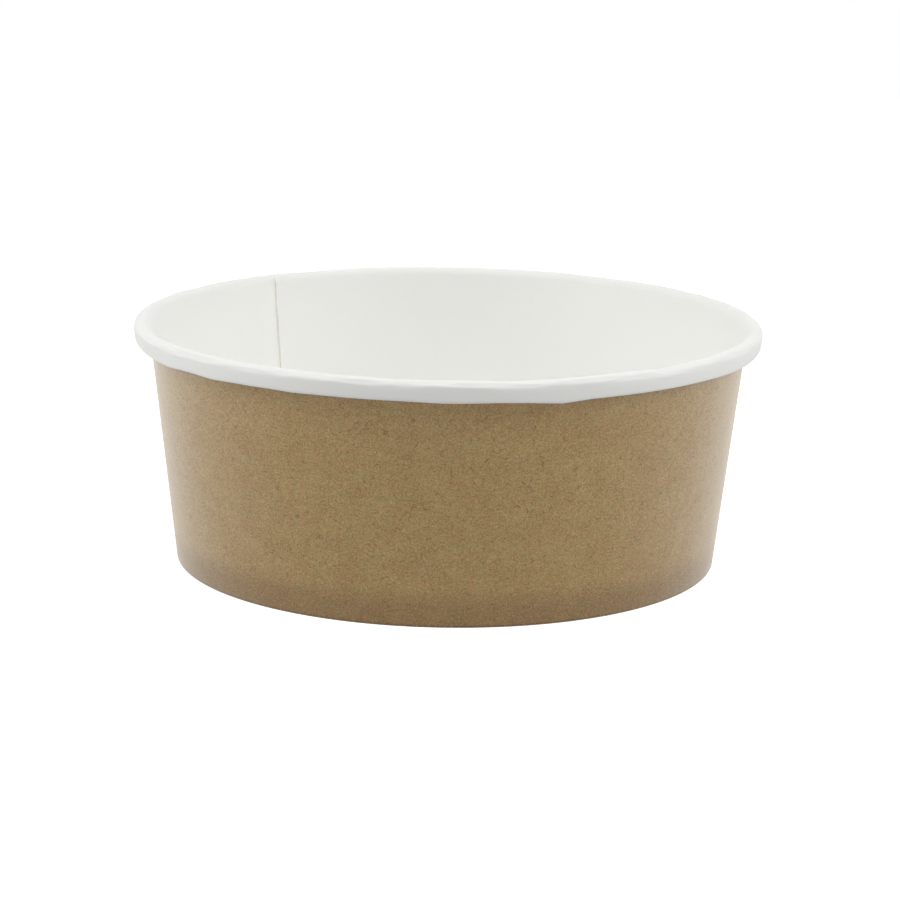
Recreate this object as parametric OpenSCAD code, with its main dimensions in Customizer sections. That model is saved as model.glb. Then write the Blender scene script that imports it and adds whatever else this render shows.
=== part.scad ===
// Paper food bowl: a cone of coated board with a lapped side seam, a rolled rim and a folded foot,
// and a round base disc whose turned-down skirt is held in the fold.
// The origin is the middle of the foot, on the table.

/* [Bowl] */
// Height over the rolled rim
bowl_h = 58; // [48:0.5:75]
// Outside diameter of the rolled rim
rim_d = 150; // [144:0.5:170]
// Diameter of the side wall where its line meets the table
foot_d = 129.8; // [110:0.2:134]
// Height of the floor inside the bowl above the table
floor_h = 8; // [6:0.1:14]

/* [Board] */
// Thickness of the coated board
board_t = 0.45; // [0.3:0.05:0.6]
// Glue line between the base skirt and the boards on both sides of it
glue_gap = 0.02; // [0.01:0.01:0.05]

/* [Rolled rim] */
// Outside radius of the first turn of the curl
curl_r = 2.05; // [1.7:0.05:3]
// Straight stretch on the curl's outer side
curl_straight = 1; // [0.4:0.1:2]
// Gap between the turns of the curl
curl_gap = 0.15; // [0.1:0.01:0.25]
// Angle of the curl's last, inner arc
curl_end_deg = 90; // [30:5:150]

/* [Foot] */
// Depth by which the fold is pressed flat on the table
foot_press = 0.08; // [0.04:0.01:0.14]
// Inner radius of the bend from base disc to skirt
bend_r = 0.5; // [0.3:0.1:1]
// Room between the hem's edge and the start of that bend
hem_room = 0.3; // [0.2:0.1:2]

/* [Side seam] */
// Direction of the seam's inner edge, counter-clockwise from +X
seam_deg = 129; // [0:1:350]
// Width of the lap
lap_w = 7; // [5:0.5:10]
// Width over which the outer ply eases back to the round
ease_w = 5; // [4:0.5:7]
// Width of the slot that the seam leaves over the rim
slot_w = 0.4; // [0.3:0.05:0.8]

/* [Hidden] */
$fn = 180;
arc_fn = 64;
foot_r = foot_d / 2;
// A hair that lets neighbouring solids overlap
eps = 0.02;

// Lean of the wall: its line starts at the foot and runs inside the curl's first turn
curl_dr = rim_d / 2 - curl_r - foot_r;
curl_dz = bowl_h - curl_r;
wall_lean = acos((curl_r - board_t) / norm([curl_dr, curl_dz])) - atan2(curl_dz, curl_dr);

// Section values in the wall's own frame: x outwards from the kraft face, y up along the wall
curl_top_y = curl_dr * sin(wall_lean) + curl_dz * cos(wall_lean);
curl_low_y = curl_top_y - curl_straight;
curl_x = curl_r - board_t;
curl_out_x = 2 * curl_r - board_t;
curl_low_r = curl_r - (board_t + curl_gap) / 2;
curl_end_r = curl_r - board_t - curl_gap;
skirt_x = -board_t - glue_gap;
hem_x = skirt_x - board_t - glue_gap;
fold_r = 1.5 * board_t + glue_gap;
fold_x = -fold_r;
fold_y = (fold_r - foot_press + fold_x * sin(wall_lean)) / cos(wall_lean);
bend_out_r = bend_r + board_t;
bend_x = skirt_x - bend_out_r;
bend_y = (floor_h - bend_out_r + bend_x * sin(wall_lean)) / cos(wall_lean);
hem_top_y = bend_y - hem_room;

// Seam values; the wall's curve drops away from a tangent by ease_drop across the eased width
seam_r = foot_r + curl_top_y / 2 * sin(wall_lean);
lap_deg = lap_w / seam_r * 180 / PI;
slot_deg = slot_w / seam_r * 180 / PI;
ease_drop = ease_w * ease_w / (2 * seam_r);
ease_slope = (board_t + ease_drop) / ease_w;
// The eased faces run on a little past the wall's face, so that they cross it
ease_run = 1.25 * ease_w;
// The strip ends a board short of the bends in the foot and the curl, and its eased side a little sooner
strip_y0 = fold_y + board_t;
strip_y1 = curl_low_y - board_t;
ease_y0 = strip_y0 + board_t / 2;
ease_y1 = strip_y1 - board_t / 2;
hollow_y1 = ease_y1 - board_t;
// The slot is cut through half of the board, just past the cut edge, and ends on the curl's outer shoulder
slot_start_deg = seam_deg + slot_deg / 8;
slot_end_deg = 35;

// One straight stretch of board in the section, with its left face at x
module board(x, y0, y1) {
    translate([x, y0]) square([board_t, y1 - y0]);
}

// One bent band round the point (x, y), between radii r_in and r_out, from angle a to angle b
module bent(x, y, r_out, r_in, a, b) {
    translate([x, y]) intersection() {
        difference() {
            circle(r_out, $fn = arc_fn);
            circle(r_in, $fn = arc_fn);
        }
        polygon(concat([[0, 0]], [for (k = [0:4]) 2 * r_out * [cos(a + (b - a) * k / 4), sin(a + (b - a) * k / 4)]]));
    }
}

// One bent stretch of board
module bent_board(x, y, r, a, b) {
    bent(x, y, r, r - board_t, a, b);
}

// Puts a drawing made in the wall's own frame into the bowl's section
module in_wall() {
    translate([foot_r, 0]) rotate(-wall_lean) children();
}

// The rolled rim, drawn from the wall's top round to the curl's inner end
module curl() {
    bent_board(curl_x, curl_top_y, curl_r, 0, 180);
    board(curl_out_x - board_t, curl_low_y, curl_top_y);
    bent_board(curl_out_x - curl_low_r, curl_low_y, curl_low_r, 180, 360);
    board(curl_gap, curl_low_y, curl_top_y);
    bent_board(curl_gap + curl_end_r, curl_top_y, curl_end_r, 180 - curl_end_deg, 180);
}

// The foot's fold and the hem that stands inside the base skirt
module fold() {
    bent_board(fold_x, fold_y, fold_r, 180, 360);
    board(hem_x - board_t, fold_y, hem_top_y);
}

module wall_section() {
    difference() {
        in_wall() {
            board(-board_t, fold_y, curl_top_y);
            curl();
            fold();
        }
        // The table presses the fold flat
        translate([foot_r - 4 * fold_r, -2 * fold_r]) square([6 * fold_r, 2 * fold_r]);
    }
}

// Puts a straight bar along the wall at the seam: x outwards, y round the bowl, z up the wall
module along_seam(y0, y1) {
    rotate(seam_deg) translate([foot_r, 0, 0]) rotate([0, wall_lean, 0])
        translate([0, 0, y0]) linear_extrude(y1 - y0) children();
}

// The outer ply of the lap, as a strip on the wall's outer face
module lap_strip() {
    rotate_extrude(angle = lap_deg, start = seam_deg - lap_deg)
        in_wall() translate([-board_t / 2, strip_y0]) square([1.5 * board_t, strip_y1 - strip_y0]);
}

// The outer ply past the lap, easing back from the strip to the round of the wall
module lap_ease() {
    along_seam(ease_y0, ease_y1) polygon([
        [-board_t / 2, -board_t / 2],
        [board_t - eps, -board_t / 2],
        [board_t - eps, 0],
        [board_t - eps - ease_slope * ease_run, ease_run],
        [board_t / 2 - ease_slope * ease_run, ease_run]
    ]);
}

// The hollow inside the bowl beside the inner ply's cut edge, a board deep at the edge
module seam_hollow() {
    along_seam(bend_y, hollow_y1) polygon([
        [-2 * board_t - ease_drop, 0],
        [-eps, 0],
        [-eps - ease_slope * ease_run, ease_run],
        [-2 * board_t - ease_drop, ease_run]
    ]);
}

// The slot that the same cut edge leaves from there up and over the rim
module seam_slot() {
    rotate_extrude(angle = slot_deg, start = slot_start_deg) in_wall() {
        translate([-2 * board_t, hollow_y1 - board_t]) square([1.5 * board_t, curl_top_y - hollow_y1 + board_t]);
        bent(curl_x, curl_top_y, curl_r + board_t, curl_r - board_t / 2, slot_end_deg, 180);
    }
}

// One sheet: wall, lapped seam, rolled rim and folded foot
module side_wall() {
    color("peru") difference() {
        union() {
            rotate_extrude() wall_section();
            lap_strip();
            lap_ease();
        }
        seam_hollow();
        seam_slot();
    }
}

// One sheet: the flat disc, its bend and its skirt; the bend is drawn from both of its ends
module base_section() {
    difference() {
        in_wall() {
            board(skirt_x - board_t, fold_y, bend_y);
            bent_board(bend_x, bend_y, bend_out_r, 0, 60);
            translate([bend_x, bend_y]) rotate(wall_lean) {
                bent_board(0, 0, bend_out_r, 30, 90);
                translate([-foot_r, bend_r]) square([foot_r, board_t]);
            }
        }
        // Nothing crosses the bowl's axis
        translate([-foot_r, 0]) square([foot_r, bowl_h]);
    }
}

module base_disc() {
    color("whitesmoke") rotate_extrude() base_section();
}

side_wall();
base_disc();
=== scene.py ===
# Paper food bowl: two sheets of coated board, brown kraft outside and white inside, with a rolled rim.
import math

import bmesh
import bpy
from mathutils import Matrix, Vector, noise


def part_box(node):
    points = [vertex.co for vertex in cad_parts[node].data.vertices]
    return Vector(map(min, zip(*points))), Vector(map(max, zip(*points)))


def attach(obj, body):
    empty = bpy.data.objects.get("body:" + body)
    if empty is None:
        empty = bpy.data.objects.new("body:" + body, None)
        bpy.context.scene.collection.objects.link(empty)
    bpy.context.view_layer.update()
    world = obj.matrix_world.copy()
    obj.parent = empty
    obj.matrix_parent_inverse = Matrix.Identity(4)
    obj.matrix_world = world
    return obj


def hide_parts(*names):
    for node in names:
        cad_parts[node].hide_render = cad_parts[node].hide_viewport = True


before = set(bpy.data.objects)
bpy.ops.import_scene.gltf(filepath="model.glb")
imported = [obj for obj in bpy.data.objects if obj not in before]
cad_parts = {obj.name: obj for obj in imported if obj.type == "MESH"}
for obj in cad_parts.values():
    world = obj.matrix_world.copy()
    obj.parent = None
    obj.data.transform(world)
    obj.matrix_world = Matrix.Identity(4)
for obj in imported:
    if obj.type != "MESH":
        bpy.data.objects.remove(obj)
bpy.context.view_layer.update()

MM = 0.001

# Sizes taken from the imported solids
wall_low, wall_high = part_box("side_wall")
RIM_R = wall_high.x
BOWL_H = wall_high.z
FLOOR_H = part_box("base_disc")[1].z

# Board and its bends, as in the part's source
BOARD = 0.45 * MM
GLUE_GAP = 0.02 * MM
FOOT_R = 64.9 * MM
CURL_R = 2.05 * MM
CURL_STRAIGHT = 1.0 * MM
CURL_GAP = 0.15 * MM
FOOT_PRESS = 0.08 * MM
BEND_R = 0.5 * MM
HEM_ROOM = 0.3 * MM

# The rolled rim's outer shoulder is pressed to a tighter bend than its inner one, and its lower
# corners to the tightest
SHOULDER_R = 1.35 * MM
LOW_BEND_R = 0.8 * MM

# Side seam: the inner ply's cut edge, the lap and the width over which the outer ply eases back
SEAM_DEG = 129.0
LAP_DEG = 6.0
EASE_DEG = 5.0
PLY_GAP = 0.01 * MM
CREST_STEP = 0.04 * MM
LAP_FADE_LOW = 3.0 * MM
LAP_FADE_HIGH = 7.0 * MM

# The wall leans so that its line runs from the foot into the curl's first turn
curl_dr = RIM_R - CURL_R - FOOT_R
curl_dz = BOWL_H - CURL_R
LEAN = math.acos((CURL_R - BOARD) / math.hypot(curl_dr, curl_dz)) - math.atan2(curl_dz, curl_dr)

# Section values in the wall's own frame: x outwards from the kraft face, y up along the wall
CURL_TOP_Y = curl_dr * math.sin(LEAN) + curl_dz * math.cos(LEAN)
CURL_LOW_Y = CURL_TOP_Y - CURL_STRAIGHT
CURL_X = CURL_R - BOARD
CURL_OUT_X = 2 * CURL_R - BOARD - (CURL_R - SHOULDER_R) * (math.cos(LEAN) + math.sin(LEAN) - 1)
CURL_LOW_R = CURL_R - (BOARD + CURL_GAP) / 2
CURL_END_R = CURL_R - BOARD - CURL_GAP
SKIRT_X = -BOARD - GLUE_GAP
HEM_X = SKIRT_X - BOARD - GLUE_GAP
FOLD_R = 1.5 * BOARD + GLUE_GAP
FOLD_Y = (FOLD_R - FOOT_PRESS - FOLD_R * math.sin(LEAN)) / math.cos(LEAN)
BEND_OUT_R = BEND_R + BOARD
BEND_X = SKIRT_X - BEND_OUT_R
BEND_Y = (FLOOR_H - BEND_OUT_R + BEND_X * math.sin(LEAN)) / math.cos(LEAN)
HEM_TOP_Y = BEND_Y - HEM_ROOM
MID_R = (FOOT_R + RIM_R) / 2

# Columns of the swept meshes, how close two places count as one, and the angle from which an edge is sharp
LAP_COLUMNS = 10
EASE_COLUMNS = 12
BODY_COLUMNS = 420
BASE_COLUMNS = 300
SAME_DEG = 0.01
SAME_PLACE = 0.001 * MM
SHARP_DEG = 38.0

# Steps along the side wall's board, from the hem to the curl's end
HEM_STEPS = 5
FOLD_STEPS = 10
WALL_STEPS = 28
CREST_STEPS = 12
FLAT_STEPS = 2
SHOULDER_STEPS = 12
FACE_STEPS = 5
LOW_BEND_STEPS = 8
LOW_STEPS = 3
LOW_TURN_STEPS = 6
INNER_STEPS = 3
CURL_END_STEPS = 8

# Steps along the base disc's board
PLATE_STEPS = 24
PLATE_BEND_STEPS = 12
SKIRT_STEPS = 6

# Stretches of the board's line, and the slots of its kraft face and cut edges after that of its white face
HEM, WALL, CURL, INNER_TURN = range(4)
KRAFT_SLOT = 1
EDGE_SLOT = 2

# Turn at the curl's end, and how far under the floor's top the lap's inner ply is left out
CURL_END_DEG = 90.0
FLOOR_COVER = 0.8 * MM

# Puckers of the rim's shoulder: their depth, and their middle and reach in degrees up from level at the curl
PUCKER = 0.32 * MM
SHOULDER_LIFT = 48.0
SHOULDER_REACH = 55.0

# Broad, small and fine puckers: waves per mm, place in the pattern, degrees of the bend to a wave and weight
PUCKER_WAVES = (
    (0.07, 3, 1, 45, 0.7),
    (0.17, 9, 4, 28, 0.6),
    (0.45, 2, 7, 20, 0.25),
)

# How far the curl's lower edge hangs and its crest dips, in mm, by azimuth, with straight stretches between
RIM_HANG = (
    (-165.0, 0.02), (-148.5, 0.38), (-144.5, 0.02), (-140.0, -0.08), (-135.0, 0.12), (-129.0, -0.14),
    (-121.0, -0.23), (-117.2, -0.08), (-113.0, -0.20), (-98.0, -0.19), (-90.5, 0.07), (-81.5, -0.06),
    (-76.5, 0.08), (-70.3, 0.55), (-65.0, 0.02), (-60.0, -0.06), (-40.5, -0.12), (-33.0, -0.02),
    (-25.0, 0.10), (-14.0, -0.10), (2.0, -0.03), (14.0, 0.32), (22.0, -0.08), (40.0, -0.13),
    (52.0, 0.17), (60.0, -0.16), (80.0, -0.08), (93.0, 0.22), (101.0, -0.13), (118.0, -0.16),
    (129.0, 0.12), (136.0, -0.13), (152.0, 0.02), (163.0, 0.34), (171.0, -0.10), (195.0, 0.02),
)
CREST_DIP = (
    (-165.0, 0.55), (-160.0, 0.50), (-150.0, 0.20), (-140.0, 0.08), (-115.0, 0.00), (-105.0, 0.06),
    (-99.0, 0.20), (-94.0, 0.18), (-88.0, 0.06), (-84.0, 0.12), (-80.0, 0.38), (-70.0, 0.18),
    (-64.0, 0.05), (-55.0, 0.02), (-50.0, 0.28), (-42.0, 0.08), (-30.0, 0.00), (45.0, 0.00),
    (57.0, 0.12), (64.0, 0.00), (105.0, 0.00), (119.0, 0.25), (129.0, 0.03), (143.0, 0.05),
    (151.0, 0.22), (159.0, 0.00), (176.0, 0.10), (195.0, 0.55),
)

# Colours of the board, in linear light
COATED_WHITE = (0.93, 0.93, 0.903, 1)
KRAFT = (0.368, 0.234, 0.074, 1)
CUT_EDGE = (0.96, 0.94, 0.85, 1)
DARK_FIBRE = (0.155, 0.066, 0.003, 1)
RED_FIBRE = (0.185, 0.075, 0.028, 1)
PALE_FIBRE = (0.61, 0.47, 0.25, 1)

# Darker, browner band over the foot, partly the pressed board's own tone and partly painted shade where the
# floor near the bowl lights it less: its soft upper edge, and its shade against the wall above
HEM_BAND_LOW = 3.6 * MM
HEM_BAND_HIGH = 10.0 * MM
HEM_BAND_AND_PAINTED_SHADE = (0.69, 0.635, 0.55)

# Painted contact shade, a dark line along the foot's folded bottom edge where it meets the table: where it
# ends above the table, and its shade against the band
CONTACT_SHADE_LOW = 0.3 * MM
CONTACT_SHADE_HIGH = 0.8 * MM
PAINTED_CONTACT_SHADE = (0.36, 0.30, 0.20)

# The pulp's unevenness: name, cells to a mm, detail and output of each layer's noise
PULP_LAYERS = (
    ("Cloud", 0.15, 2.0, "Fac"),
    ("Mottle", 0.7, 3.0, "Fac"),
    ("Grain", 2.3, 1.0, "Fac"),
    ("Tint", 0.45, 3.0, "Color"),
)
PULP_ROUGHNESS = 0.6

# How strongly the pulp's layers lighten and darken each face
KRAFT_PULP = (("Cloud", 0.54), ("Mottle", 0.68), ("Grain", 1.52))
WHITE_PULP = (("Mottle", 0.02), ("Grain", 0.03))
EDGE_PULP = (("Mottle", 0.2), ("Grain", 0.3))

# How far the mottled tint shifts red, green and blue, and how strongly each follows the pulp's light and dark
# spots: dark spots are browner than pale ones
TINT = (0.42, 0.20, 0.06)
SHADE_GAINS = (0.56, 1.0, 1.72)

# Web of fine fibres: cells to a mm, the curved lines' edge, and the breaks' cells and edges
WEB_SCALE = 1.1
WEB_LINE = 0.055
WEB_BREAK_SCALE = 1.7
WEB_BREAK_LOW = 0.45
WEB_BREAK_HIGH = 0.6

# Webs in the kraft: offset in the pattern, strength and colour
KRAFT_WEBS = (
    (0.0, 0.38, DARK_FIBRE),
    (31.0, 0.38, DARK_FIBRE),
    (57.0, 0.25, PALE_FIBRE),
    (83.0, 0.25, PALE_FIBRE),
)

# Shape of single fibres: their bends, in cells to a mm and in mm, how they are drawn out in their direction,
# where their edge and core lie in a cell, and the faintest of them
FIBRE_BEND_SCALE = 0.55
FIBRE_BEND = 2.2
FIBRE_CELLS = (0.42, 2.0, 0.0)
FIBRE_EDGE = 0.34
FIBRE_CORE = 0.14
FIBRE_FAINTEST = 0.35

# Single fibres in the kraft: main direction in degrees, share of the places that hold one, strength and
# colour, and the offset in the pattern from one kind to the next
KRAFT_FIBRES = (
    (8, 0.06, 0.75, DARK_FIBRE),
    (-35, 0.06, 0.75, DARK_FIBRE),
    (52, 0.05, 0.75, DARK_FIBRE),
    (95, 0.04, 0.75, DARK_FIBRE),
    (28, 0.02, 0.80, RED_FIBRE),
    (-60, 0.02, 0.80, RED_FIBRE),
)
FIBRE_OFFSET = 17.3

# Finish of the faces: lowest and highest roughness, and strength and depth of the relief
KRAFT_ROUGHNESS = (0.36, 0.50)
WHITE_ROUGHNESS = (0.58, 0.70)
KRAFT_RELIEF = (0.25, 0.05 * MM)
WHITE_RELIEF = (0.2, 0.03 * MM)
EDGE_ROUGHNESS = 0.85
WHITE_SPECULAR = 0.25

# Thin satin coating of the kraft face, and the bloom of its fibres at a flat angle
KRAFT_COATING = {
    "IOR": 1.4,
    "Coat Weight": 0.75,
    "Coat Roughness": 0.35,
    "Coat IOR": 1.4,
    "Sheen Weight": 0.2,
    "Sheen Roughness": 0.4,
    "Sheen Tint": (0.85, 0.95, 1.0, 1),
}

# Studio: floor, room light and soft lamps by name, degrees round from the front, degrees up, distance in m
# and power in W
FLOOR_R = 1.1
FLOOR_SIDES = 96
FLOOR_PAINT = 0.68
FLOOR_LIFT = 0.80
ROOM_LIGHT = 0.02
AIM = (wall_low + wall_high) / 2
LAMPS = (
    ("top_lamp", 0, 74, 1.10, 3.0),
    ("back_lamp", 180, 48, 1.10, 2.5),
    ("right_lamp", 90, 24, 1.05, 3.5),
    ("left_lamp", -90, 24, 1.05, 3.9),
    ("front_right_lamp", 52, 38, 1.10, 3.35),
    ("front_left_lamp", -52, 38, 1.10, 3.05),
)
LAMP_SIZE = 0.7

# Camera, fitted to the bowl's outline in the photograph
SENSOR_MM = 36.0
LENS_MM = 116.8
CLIP_START = 0.01
VIEW_AWAY = 0.7055
VIEW_UP = math.radians(12.89)
VIEW_ROLL = math.radians(0.92)
SHIFT_X = 0.0038
SHIFT_Y = -0.0158


def to_section(x, y):
    """The point of the bowl's section at x outwards from the kraft face and y up along the wall."""
    return Vector(
        (FOOT_R + x * math.cos(LEAN) + y * math.sin(LEAN), 0, y * math.cos(LEAN) - x * math.sin(LEAN))
    )


def smooth(t):
    """0 to 1 with soft ends."""
    t = min(max(t, 0.0), 1.0)
    return t * t * (3 - 2 * t)


def straight(bm, tip, end, steps):
    """Draws a straight stretch of the board's line from the vertex tip and returns its last vertex."""
    step = (end - tip.co) / steps
    for _ in range(steps):
        start = tip.co.copy()
        tip = bmesh.ops.extrude_vert_indiv(bm, verts=[tip])["verts"][0]
        tip.co = start + step
    return tip


def bend(bm, tip, centre, degrees, steps):
    """Draws a bend of the board's line round centre, clockwise as the section is seen from -Y."""
    turned = bmesh.ops.spin(
        bm, geom=[tip], cent=centre, axis=(0, 1, 0), angle=math.radians(degrees), steps=steps
    )
    return next(g for g in turned["geom_last"] if isinstance(g, bmesh.types.BMVert))


def mark_along(bm, sheet):
    """Stores each vertex's way along the line, in mm, where the board's grain reads it."""
    bm.verts.ensure_lookup_table()
    along = 0.0
    for before, vert in zip(bm.verts[:-1], bm.verts[1:]):
        along += (vert.co - before.co).length / MM
        vert[sheet] = (0, along, 0)


def mark_part(bm, part, first, number):
    """Gives the vertices from the index first on the number of their stretch of the board."""
    bm.verts.ensure_lookup_table()
    for vert in bm.verts[first:]:
        vert[part] = number
    return len(bm.verts)


def sweep(bm, geom, sheet, start_deg, degrees, steps):
    """Turns a line clockwise about the axis, stores the way round in mm and returns the last copy."""
    first = len(bm.verts)
    turned = bmesh.ops.spin(
        bm, geom=geom, cent=(0, 0, 0), axis=(0, 0, -1), angle=math.radians(degrees), steps=steps
    )
    bm.verts.ensure_lookup_table()
    for vert in bm.verts[first:]:
        azimuth = math.degrees(math.atan2(vert.co.y, vert.co.x))
        turn = start_deg + (SEAM_DEG - azimuth - start_deg) % 360
        vert[sheet] = (math.radians(turn) * MID_R / MM, vert[sheet].y, 0)
    return turned["geom_last"]


def turn_deg(vert, sheet):
    return math.degrees(vert[sheet].x * MM / MID_R)


def give_thickness(bm):
    """Thickens the white sheet away from its normals: that side is kraft, and the rest cut edges."""
    front = set(bm.verts)
    bmesh.ops.solidify(bm, geom=bm.faces[:], thickness=BOARD)
    for face in bm.faces:
        on_front = sum(vert in front for vert in face.verts)
        if on_front == 0:
            face.material_index = KRAFT_SLOT
        elif on_front < len(face.verts):
            face.material_index = EDGE_SLOT


def make_piece(bm, name, materials):
    """Makes the object of a closed board, smooth but for its cut edges."""
    bm.normal_update()
    for face in bm.faces:
        face.smooth = True
    for edge in bm.edges:
        edge.smooth = edge.calc_face_angle(0) < math.radians(SHARP_DEG)
    mesh = bpy.data.meshes.new(name)
    bm.to_mesh(mesh)
    bm.free()
    for material in materials:
        mesh.materials.append(material)
    piece = bpy.data.objects.new(name, mesh)
    bpy.context.scene.collection.objects.link(piece)
    return piece


def sag(depths, azimuth):
    """How far the rim lies below its true place at this azimuth, in m."""
    if azimuth < depths[0][0]:
        azimuth += 360
    for (start, start_depth), (end, end_depth) in zip(depths[:-1], depths[1:]):
        if azimuth <= end:
            return (start_depth + (end_depth - start_depth) * (azimuth - start) / (end - start)) * MM
    return depths[-1][1] * MM


def pucker(azimuth, lift):
    """How far the curl is pressed in, 0 to 1, where its crest turns into its upright face."""
    ring = Vector((math.cos(math.radians(azimuth)), math.sin(math.radians(azimuth)), 0)) * RIM_R / MM
    depth = 0.5
    for waves, x, y, bend_deg, weight in PUCKER_WAVES:
        depth += weight * noise.noise(ring * waves + Vector((x, y, lift / bend_deg)))
    return smooth(depth)


def shape_rim(bm, part):
    """Gives the rolled rim its shallow puckers, its hanging edge and its dipping crest."""
    centre = to_section(CURL_X, CURL_TOP_Y)
    low_z = to_section(CURL_X, CURL_LOW_Y - CURL_LOW_R).z
    for vert in bm.verts:
        if vert[part] < CURL:
            continue
        azimuth = math.degrees(math.atan2(vert.co.y, vert.co.x))
        out = Vector((vert.co.x, vert.co.y, 0)).normalized()
        away = Vector((vert.co.to_2d().length - centre.x, 0, vert.co.z - centre.z))
        lift = math.degrees(math.atan2(away.z, away.x))
        in_turn = smooth(1 - abs(lift - SHOULDER_LIFT) / SHOULDER_REACH)
        press = PUCKER * pucker(azimuth, lift) * in_turn
        away.normalize()
        vert.co -= (out * away.x + Vector((0, 0, away.z))) * press
        down = smooth((centre.z - vert.co.z) / (centre.z - low_z))
        up = smooth((vert.co.z - centre.z) / (BOWL_H - centre.z))
        vert.co.z -= sag(RIM_HANG, azimuth) * down + sag(CREST_DIP, azimuth) * up


def board_line():
    """The white face of the side wall's board from the folded foot up the wall and round the curl."""
    bm = bmesh.new()
    sheet = bm.verts.layers.float_vector.new("sheet")
    part = bm.verts.layers.int.new("part")
    tip = bmesh.ops.create_vert(bm, co=to_section(HEM_X, HEM_TOP_Y))["vert"][0]
    tip = straight(bm, tip, to_section(HEM_X, FOLD_Y), HEM_STEPS)
    tip = bend(bm, tip, to_section(-FOLD_R, FOLD_Y), -180, FOLD_STEPS)
    first = mark_part(bm, part, 0, HEM)
    tip = straight(bm, tip, to_section(-BOARD, CURL_TOP_Y), WALL_STEPS)
    first = mark_part(bm, part, first, WALL)
    tip = bend(bm, tip, to_section(CURL_X, CURL_TOP_Y), 90, CREST_STEPS)
    shoulder_y = CURL_TOP_Y + CURL_R - SHOULDER_R
    tip = straight(bm, tip, to_section(CURL_OUT_X - SHOULDER_R, shoulder_y + SHOULDER_R), FLAT_STEPS)
    tip = bend(bm, tip, to_section(CURL_OUT_X - SHOULDER_R, shoulder_y), 90, SHOULDER_STEPS)
    low_y = CURL_LOW_Y - CURL_LOW_R
    tip = straight(bm, tip, to_section(CURL_OUT_X, low_y + LOW_BEND_R), FACE_STEPS)
    tip = bend(bm, tip, to_section(CURL_OUT_X - LOW_BEND_R, low_y + LOW_BEND_R), 90, LOW_BEND_STEPS)
    tip = straight(bm, tip, to_section(CURL_GAP + LOW_BEND_R, low_y), LOW_STEPS)
    tip = bend(bm, tip, to_section(CURL_GAP + LOW_BEND_R, low_y + LOW_BEND_R), 90, LOW_TURN_STEPS)
    first = mark_part(bm, part, first, CURL)
    tip = straight(bm, tip, to_section(CURL_GAP, CURL_TOP_Y), INNER_STEPS)
    bend(bm, tip, to_section(CURL_GAP + CURL_END_R, CURL_TOP_Y), CURL_END_DEG, CURL_END_STEPS)
    mark_part(bm, part, first, INNER_TURN)
    mark_along(bm, sheet)
    return bm, sheet, part


def lap_outwards(bm, sheet, part):
    """Lays the sheet's last stretch over the outside of its first, and flush with it on the rolled rim."""
    bm.normal_update()
    wall_top = to_section(-BOARD, CURL_TOP_Y).z
    shifts = {}
    for vert in bm.verts:
        turned = turn_deg(vert, sheet)
        if turned <= 360 - EASE_DEG or vert[part] == HEM:
            continue
        eased = smooth((turned - 360 + EASE_DEG) / EASE_DEG)
        raised = smooth((vert.co.z - LAP_FADE_LOW) / (LAP_FADE_HIGH - LAP_FADE_LOW))
        step = BOARD + PLY_GAP
        if vert[part] >= CURL:
            rolled = smooth((vert.co.z - wall_top) / (BOWL_H - wall_top)) if is_inside_crest(vert) else 1.0
            step += (CREST_STEP - step) * rolled
        shifts[vert] = vert.normal * step * eased * raised
    for vert, shift in shifts.items():
        vert.co -= shift


def is_inside_crest(vert):
    """Whether a vertex of the curl lies between the wall and the crest."""
    crest = to_section(CURL_X, CURL_TOP_Y)
    return vert.co.to_2d().length < crest.x and vert.co.z > crest.z


def cut_outer_ply(bm, sheet, part):
    """Ends the outer ply of the lap below the rolled rim, where the inner ply alone shows."""
    rolled = [
        face
        for face in bm.faces
        if all(turn_deg(vert, sheet) > 360 - SAME_DEG for vert in face.verts)
        and any(vert[part] >= CURL for vert in face.verts)
    ]
    bmesh.ops.delete(bm, geom=rolled, context="FACES")


def cut_hidden_ply(bm, sheet):
    """Leaves out the inner ply of the lap where the base disc hides it."""
    cover_z = FLOOR_H - FLOOR_COVER
    hidden = [
        face
        for face in bm.faces
        if all(turn_deg(vert, sheet) < LAP_DEG + SAME_DEG and vert.co.z < cover_z for vert in face.verts)
    ]
    bmesh.ops.delete(bm, geom=hidden, context="FACES")


def make_side_wall(materials):
    """The side wall: one sheet with a folded foot, a lapped side seam and a rolled rim."""
    bm, sheet, part = board_line()
    bmesh.ops.rotate(
        bm, verts=bm.verts[:], cent=(0, 0, 0), matrix=Matrix.Rotation(math.radians(SEAM_DEG), 3, "Z")
    )
    line = sweep(bm, bm.verts[:] + bm.edges[:], sheet, 0, LAP_DEG, LAP_COLUMNS)
    line = sweep(bm, line, sheet, LAP_DEG, 360 - LAP_DEG - EASE_DEG, BODY_COLUMNS)
    line = sweep(bm, line, sheet, 360 - EASE_DEG, EASE_DEG, EASE_COLUMNS)
    sweep(bm, line, sheet, 360, LAP_DEG, LAP_COLUMNS)
    bmesh.ops.reverse_faces(bm, faces=bm.faces[:])
    lap_outwards(bm, sheet, part)
    cut_outer_ply(bm, sheet, part)
    shape_rim(bm, part)
    cut_hidden_ply(bm, sheet)
    bm.normal_update()
    give_thickness(bm)
    for vert in bm.verts:
        vert.co.z = max(vert.co.z, 0.0)
    return make_piece(bm, "side_wall_board", materials)


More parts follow.
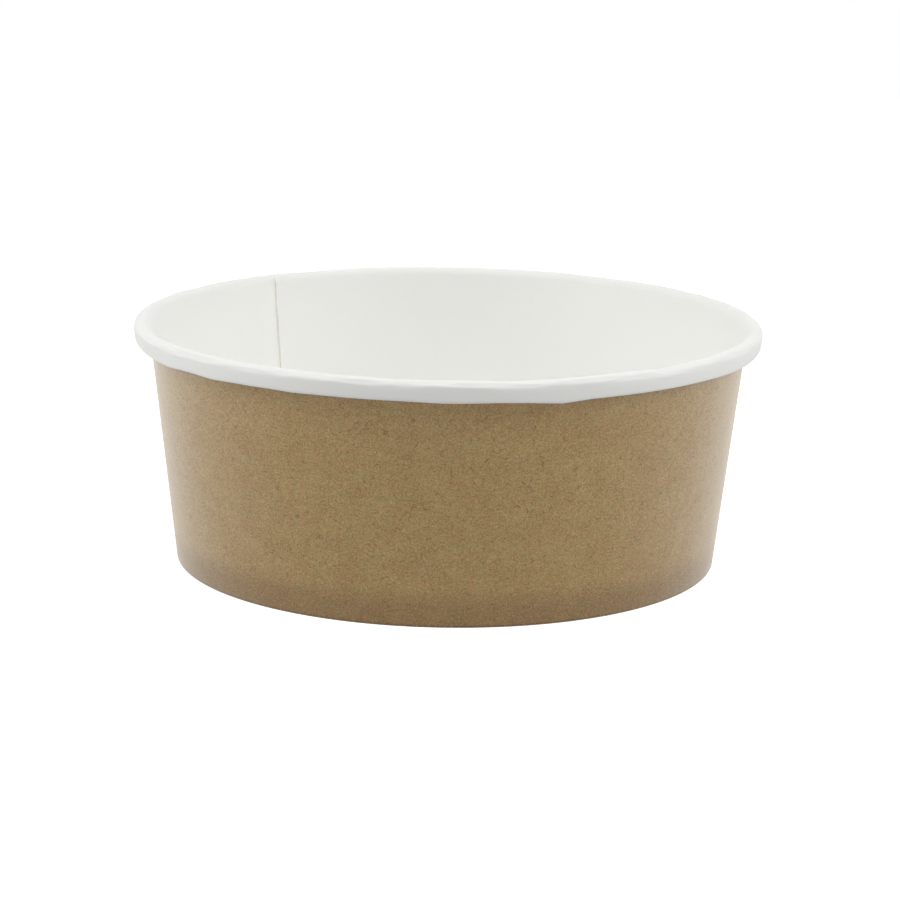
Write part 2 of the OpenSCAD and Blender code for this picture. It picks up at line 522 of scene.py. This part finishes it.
def make_base(materials):
    """The base disc: a flat plate whose edge is bent down into a skirt."""
    bm = bmesh.new()
    sheet = bm.verts.layers.float_vector.new("sheet")
    centre = to_section(BEND_X, BEND_Y)
    tip = bmesh.ops.create_vert(bm, co=(0, 0, FLOOR_H))["vert"][0]
    tip = straight(bm, tip, Vector((centre.x, 0, FLOOR_H)), PLATE_STEPS)
    tip = bend(bm, tip, centre, 90 + math.degrees(LEAN), PLATE_BEND_STEPS)
    straight(bm, tip, to_section(SKIRT_X, FOLD_Y), SKIRT_STEPS)
    mark_along(bm, sheet)
    bmesh.ops.spin(
        bm,
        geom=bm.verts[:] + bm.edges[:],
        cent=(0, 0, 0),
        axis=(0, 0, 1),
        angle=math.radians(360),
        steps=BASE_COLUMNS,
        use_merge=True,
    )
    bmesh.ops.remove_doubles(bm, verts=bm.verts[:], dist=SAME_PLACE)
    for vert in bm.verts:
        out = Vector((vert.co.x, vert.co.y, 0)).normalized()
        vert[sheet] = out * vert[sheet].y
    bmesh.ops.recalc_face_normals(bm, faces=bm.faces[:])
    give_thickness(bm)
    return make_piece(bm, "base_board", materials)


def node(tree, kind, inputs, **settings):
    """Adds a node with its settings, and links or sets its inputs."""
    made = tree.nodes.new(kind)
    for name, value in settings.items():
        setattr(made, name, value)
    for name, value in inputs.items():
        if isinstance(value, bpy.types.NodeSocket):
            tree.links.new(value, made.inputs[name])
        else:
            made.inputs[name].default_value = value
    return made


def calc(tree, operation, *values):
    """The result of a calculation with numbers."""
    return node(tree, "ShaderNodeMath", dict(enumerate(values)), operation=operation).outputs[0]


def vector_calc(tree, operation, *values):
    """The result of a calculation with vectors or colours."""
    return node(tree, "ShaderNodeVectorMath", dict(enumerate(values)), operation=operation).outputs[0]


def scaled(tree, vector, factor):
    return node(tree, "ShaderNodeVectorMath", {0: vector, "Scale": factor}, operation="SCALE").outputs[0]


def soft_step(tree, value, zero_at, one_at):
    """0 up to one value and 1 from the other, with soft ends between."""
    ends = {"Value": value, "From Min": zero_at, "From Max": one_at}
    return node(tree, "ShaderNodeMapRange", ends, interpolation_type="SMOOTHSTEP").outputs[0]


def spread(tree, value, low, high):
    """A value between 0 and 1 spread from low to high."""
    return node(tree, "ShaderNodeMapRange", {"Value": value, "To Min": low, "To Max": high}).outputs[0]


def new_group(name, inputs, outputs):
    """A node group with its sockets, each a name and a kind, and its two ends."""
    tree = bpy.data.node_groups.new(name, "ShaderNodeTree")
    for label, kind in inputs:
        tree.interface.new_socket(label, in_out="INPUT", socket_type="NodeSocket" + kind)
    for label, kind in outputs:
        tree.interface.new_socket(label, in_out="OUTPUT", socket_type="NodeSocket" + kind)
    start = tree.nodes.new("NodeGroupInput")
    end = tree.nodes.new("NodeGroupOutput")
    return tree, start.outputs, end.inputs


def make_fibre_group():
    """Short bent fibres that lie in one main direction of the sheet: 1 on a fibre and 0 off it."""
    inputs = (("Sheet", "Vector"), ("Angle", "Float"), ("Offset", "Float"), ("Share", "Float"))
    tree, given, result = new_group("short_fibres", inputs, (("Fibre", "Float"),))
    bends = {"Vector": given["Sheet"], "Scale": FIBRE_BEND_SCALE, "Detail": 1.0}
    waves = node(tree, "ShaderNodeTexNoise", bends)
    centred = vector_calc(tree, "SUBTRACT", waves.outputs["Color"], (0.5, 0.5, 0.5))
    moved = vector_calc(tree, "ADD", given["Sheet"], scaled(tree, centred, FIBRE_BEND))
    along = {"Vector": moved, "Angle": given["Angle"]}
    turned = node(tree, "ShaderNodeVectorRotate", along, rotation_type="Z_AXIS").outputs[0]
    shift = node(tree, "ShaderNodeCombineXYZ", {"X": given["Offset"], "Y": given["Offset"]}).outputs[0]
    drawn_out = vector_calc(tree, "MULTIPLY", vector_calc(tree, "ADD", turned, shift), FIBRE_CELLS)
    places = {"Vector": drawn_out, "Scale": 1.0, "Randomness": 1.0}
    cells = node(tree, "ShaderNodeTexVoronoi", places, voronoi_dimensions="2D")
    on_fibre = soft_step(tree, cells.outputs["Distance"], FIBRE_EDGE, FIBRE_CORE)
    chance = node(tree, "ShaderNodeSeparateColor", {0: cells.outputs["Color"]})
    kept = calc(tree, "LESS_THAN", chance.outputs[0], given["Share"])
    strength = spread(tree, chance.outputs[1], FIBRE_FAINTEST, 1.0)
    fibre = calc(tree, "MULTIPLY", calc(tree, "MULTIPLY", on_fibre, kept), strength)
    tree.links.new(fibre, result["Fibre"])
    return tree


def make_web_group():
    """A broken web of fine curved fibres: 1 on a fibre and 0 off it."""
    inputs = (("Sheet", "Vector"), ("Offset", "Float"))
    tree, given, result = new_group("fibre_web", inputs, (("Web", "Float"),))
    shift = node(tree, "ShaderNodeCombineXYZ", {"X": given["Offset"], "Z": given["Offset"]}).outputs[0]
    shifted = vector_calc(tree, "ADD", given["Sheet"], shift)
    pattern = {"Vector": shifted, "Scale": WEB_SCALE, "Detail": 1.0, "Roughness": 0.5}
    lines = node(tree, "ShaderNodeTexNoise", pattern)
    distance = calc(tree, "ABSOLUTE", calc(tree, "SUBTRACT", lines.outputs["Fac"], 0.5))
    line = soft_step(tree, distance, WEB_LINE, 0.0)
    breaks = node(tree, "ShaderNodeTexNoise", {"Vector": shifted, "Scale": WEB_BREAK_SCALE, "Detail": 0.0})
    kept = soft_step(tree, breaks.outputs["Fac"], WEB_BREAK_LOW, WEB_BREAK_HIGH)
    tree.links.new(calc(tree, "MULTIPLY", line, kept), result["Web"])
    return tree


def make_pulp_group():
    """The pulp's broad clouds, mottling, fine grain and mottled tint, each about 0.5 on average."""
    outputs = (("Cloud", "Float"), ("Mottle", "Float"), ("Grain", "Float"), ("Tint", "Color"))
    tree, given, result = new_group("pulp", (("Sheet", "Vector"),), outputs)
    for name, scale, detail, output in PULP_LAYERS:
        pattern = {"Vector": given["Sheet"], "Scale": scale, "Detail": detail, "Roughness": PULP_ROUGHNESS}
        pulp = node(tree, "ShaderNodeTexNoise", pattern)
        tree.links.new(pulp.outputs[output], result[name])
    return tree


def use_group(tree, group, inputs):
    return node(tree, "ShaderNodeGroup", inputs, node_tree=group).outputs


def start_material(name, pulp):
    """A new material: its tree, the sheet's place in mm, the pulp's layers and the Principled shader."""
    material = bpy.data.materials.new(name)
    material.use_nodes = True
    tree = material.node_tree
    sheet = node(tree, "ShaderNodeAttribute", {}, attribute_name="sheet").outputs["Vector"]
    return material, tree, sheet, use_group(tree, pulp, {"Sheet": sheet}), tree.nodes["Principled BSDF"]


def tone(tree, grain, weights):
    """Adds up 1 and each layer's distance from 0.5 times its weight."""
    total = 1.0
    for name, weight in weights:
        total = calc(tree, "MULTIPLY_ADD", calc(tree, "SUBTRACT", grain[name], 0.5), weight, total)
    return total


def foot_band_and_contact_shade(tree):
    """White on the open wall, darker on the band over the folded hem (partly the pressed board's tone, partly
    painted shade near the floor), darkest along the bottom edge (painted contact shade).
    """
    place = node(tree, "ShaderNodeTexCoord", {})
    height = node(tree, "ShaderNodeSeparateXYZ", {0: place.outputs["Object"]}).outputs["Z"]
    shade = (1.0, 1.0, 1.0)
    for low, high, darkest in (
        (HEM_BAND_LOW, HEM_BAND_HIGH, HEM_BAND_AND_PAINTED_SHADE),
        (CONTACT_SHADE_LOW, CONTACT_SHADE_HIGH, PAINTED_CONTACT_SHADE),
    ):
        rest = tuple(1 - share for share in darkest)
        band = vector_calc(tree, "MULTIPLY_ADD", soft_step(tree, height, low, high), rest, darkest)
        shade = vector_calc(tree, "MULTIPLY", band, shade)
    return shade


def lay_on(tree, colour, mask, strength, fibre_colour):
    """Mixes a fibre's colour into the colour below it."""
    weight = calc(tree, "MULTIPLY", mask, strength)
    return node(tree, "ShaderNodeMix", {0: weight, 6: colour, 7: fibre_colour}, data_type="RGBA").outputs[2]


def give_finish(tree, shader, grain, roughness, relief):
    """Mottles the gloss and raises the grain a little."""
    tree.links.new(spread(tree, grain["Mottle"], *roughness), shader.inputs["Roughness"])
    strength, depth = relief
    bump = node(tree, "ShaderNodeBump", {"Strength": strength, "Distance": depth, "Height": grain["Grain"]})
    tree.links.new(bump.outputs[0], shader.inputs["Normal"])


def make_kraft(fibres, web, pulp):
    """Brown kraft face: mottled pulp with fine dark and pale fibres under a thin satin coating."""
    material, tree, sheet, grain, shader = start_material("brown_kraft_face", pulp)
    rest = tuple(1 - share / 2 for share in TINT)
    tint = vector_calc(tree, "MULTIPLY_ADD", grain["Tint"], TINT, rest)
    tinted = vector_calc(tree, "MULTIPLY", tint, KRAFT[:3])
    unshaded = tuple(1 - gain for gain in SHADE_GAINS)
    gained = vector_calc(tree, "MULTIPLY_ADD", tone(tree, grain, KRAFT_PULP), SHADE_GAINS, unshaded)
    shaded = vector_calc(tree, "MULTIPLY", tinted, gained)
    # Darkens the foot: the pressed band's own tone together with painted shade near the floor, and a painted
    # contact shade along the bottom edge
    colour = vector_calc(tree, "MULTIPLY", shaded, foot_band_and_contact_shade(tree))
    for offset, strength, fibre_colour in KRAFT_WEBS:
        fibre = use_group(tree, web, {"Sheet": sheet, "Offset": offset})
        colour = lay_on(tree, colour, fibre[0], strength, fibre_colour)
    for index, (angle, share, strength, fibre_colour) in enumerate(KRAFT_FIBRES):
        kind = {"Angle": math.radians(angle), "Offset": FIBRE_OFFSET * index, "Share": share}
        fibre = use_group(tree, fibres, {"Sheet": sheet, **kind})
        colour = lay_on(tree, colour, fibre[0], strength, fibre_colour)
    tree.links.new(colour, shader.inputs["Base Color"])
    give_finish(tree, shader, grain, KRAFT_ROUGHNESS, KRAFT_RELIEF)
    for name, value in KRAFT_COATING.items():
        shader.inputs[name].default_value = value
    return material


def make_white(pulp):
    """White coated face: smooth, off-white and softly glossy, with a trace of the board's grain."""
    material, tree, _, grain, shader = start_material("white_coated_face", pulp)
    tree.links.new(scaled(tree, COATED_WHITE[:3], tone(tree, grain, WHITE_PULP)), shader.inputs["Base Color"])
    give_finish(tree, shader, grain, WHITE_ROUGHNESS, WHITE_RELIEF)
    shader.inputs["Specular IOR Level"].default_value = WHITE_SPECULAR
    return material


def make_cut_edge(pulp):
    """The board's bare cut edge: pale pulp, rough."""
    material, tree, _, grain, shader = start_material("cut_board_edge", pulp)
    tree.links.new(scaled(tree, CUT_EDGE[:3], tone(tree, grain, EDGE_PULP)), shader.inputs["Base Color"])
    shader.inputs["Roughness"].default_value = EDGE_ROUGHNESS
    return material


def seen_directly(tree):
    """1 for a look from the camera, in a gloss or through glass, 0 for light on its way elsewhere."""
    path = node(tree, "ShaderNodeLightPath", {}).outputs
    seen = calc(tree, "MAXIMUM", path["Is Camera Ray"], path["Is Glossy Ray"])
    return calc(tree, "MAXIMUM", seen, path["Is Transmission Ray"])


def make_floor_paint():
    """A pale matt floor that the camera sees white, with the bowl's soft shadow kept."""
    material = bpy.data.materials.new("pale_floor")
    material.use_nodes = True
    tree = material.node_tree
    tree.nodes.remove(tree.nodes["Principled BSDF"])
    paint = node(tree, "ShaderNodeBsdfDiffuse", {"Color": (FLOOR_PAINT, FLOOR_PAINT, FLOOR_PAINT, 1)})
    lift = calc(tree, "MULTIPLY", seen_directly(tree), FLOOR_LIFT)
    glow = node(tree, "ShaderNodeEmission", {"Color": (1, 1, 1, 1), "Strength": lift})
    both = node(tree, "ShaderNodeAddShader", {0: paint.outputs[0], 1: glow.outputs[0]})
    tree.links.new(both.outputs[0], tree.nodes["Material Output"].inputs["Surface"])
    return material


def make_floor(material):
    """A wide pale disc that the bowl stands on."""
    bm = bmesh.new()
    bmesh.ops.create_circle(bm, cap_ends=True, segments=FLOOR_SIDES, radius=FLOOR_R)
    mesh = bpy.data.meshes.new("floor")
    bm.to_mesh(mesh)
    bm.free()
    mesh.materials.append(material)
    floor = bpy.data.objects.new("floor", mesh)
    bpy.context.scene.collection.objects.link(floor)


def light_world():
    """Even light from all round, and white where the camera or a gloss looks past the floor."""
    world = bpy.data.worlds.new("studio")
    bpy.context.scene.world = world
    world.use_nodes = True
    tree = world.node_tree
    strength = spread(tree, seen_directly(tree), ROOM_LIGHT, 1.0)
    back = tree.nodes["Background"]
    back.inputs["Color"].default_value = (1, 1, 1, 1)
    tree.links.new(strength, back.inputs["Strength"])


def add_lamp(name, round_deg, up_deg, away, power):
    """A square soft lamp that faces the bowl."""
    aside, up = math.radians(round_deg), math.radians(up_deg)
    towards = Vector((math.cos(up) * math.sin(aside), -math.cos(up) * math.cos(aside), math.sin(up)))
    lamp = bpy.data.lights.new(name, "AREA")
    lamp.size = LAMP_SIZE
    lamp.energy = power
    holder = bpy.data.objects.new(name, lamp)
    holder.location = AIM + towards * away
    holder.rotation_euler = (-towards).to_track_quat("-Z", "Y").to_euler()
    bpy.context.scene.collection.objects.link(holder)


def add_camera():
    """The photograph's camera: far off, a little above the rim, and slightly tilted."""
    camera = bpy.data.cameras.new("camera")
    camera.sensor_width = SENSOR_MM
    camera.lens = LENS_MM
    camera.shift_x = SHIFT_X
    camera.shift_y = SHIFT_Y
    camera.clip_start = CLIP_START
    back = Vector((0, -math.cos(VIEW_UP), math.sin(VIEW_UP)))
    right = Vector((1, 0, 0))
    up = back.cross(right)
    turn = Matrix((right, up, back)).transposed() @ Matrix.Rotation(VIEW_ROLL, 3, "Z")
    holder = bpy.data.objects.new("camera", camera)
    holder.matrix_world = Matrix.Translation(AIM + back * VIEW_AWAY) @ turn.to_4x4()
    bpy.context.scene.collection.objects.link(holder)
    bpy.context.scene.camera = holder


fibre_group = make_fibre_group()
web_group = make_web_group()
pulp_group = make_pulp_group()
white_face = make_white(pulp_group)
kraft_face = make_kraft(fibre_group, web_group, pulp_group)
cut_edge = make_cut_edge(pulp_group)

side_wall = make_side_wall((white_face, kraft_face, cut_edge))
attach(side_wall, "root")
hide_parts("side_wall")

base = make_base((white_face, kraft_face, cut_edge))
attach(base, "root")
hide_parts("base_disc")

make_floor(make_floor_paint())
light_world()
for lamp in LAMPS:
    add_lamp(*lamp)
add_camera()
bpy.context.scene.view_settings.view_transform = "Standard"
